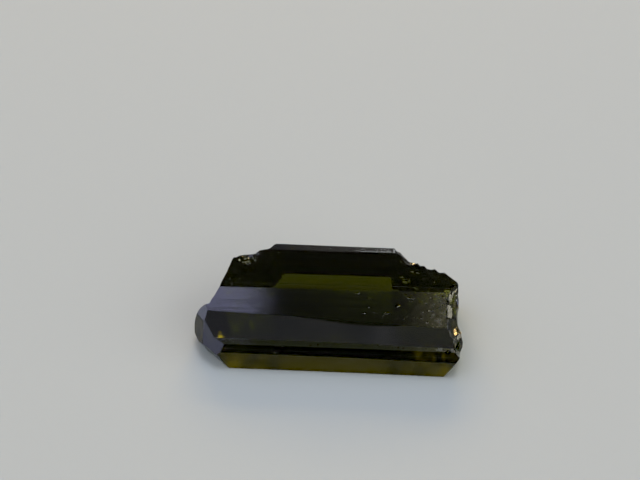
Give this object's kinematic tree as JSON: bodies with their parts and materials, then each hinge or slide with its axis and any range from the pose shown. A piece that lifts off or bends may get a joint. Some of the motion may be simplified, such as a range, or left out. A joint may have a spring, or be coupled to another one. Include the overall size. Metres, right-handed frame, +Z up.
{
  "type": "tourmaline crystal",
  "caption": "Broken length of a striated green tourmaline prism with a stepped front, chipped ridge and oblique fractured ends, lying on a prism face.",
  "frame": {"origin": "middle of the bounding box on the resting plane", "axes": "+X along the prism (the crystal's c axis) towards the hackly end, -Y towards the stepped front with the ledge, +Z up from the face it rests on"},
  "size_m": [0.0242, 0.0126, 0.007],
  "materials": {
    "green_tourmaline": "clear dark olive-green gem crystal, glossy striated faces, hackly fractured ends"
  },
  "bodies": {
    "root": {"tourmaline_crystal": "green_tourmaline"}
  },
  "joints": []
}
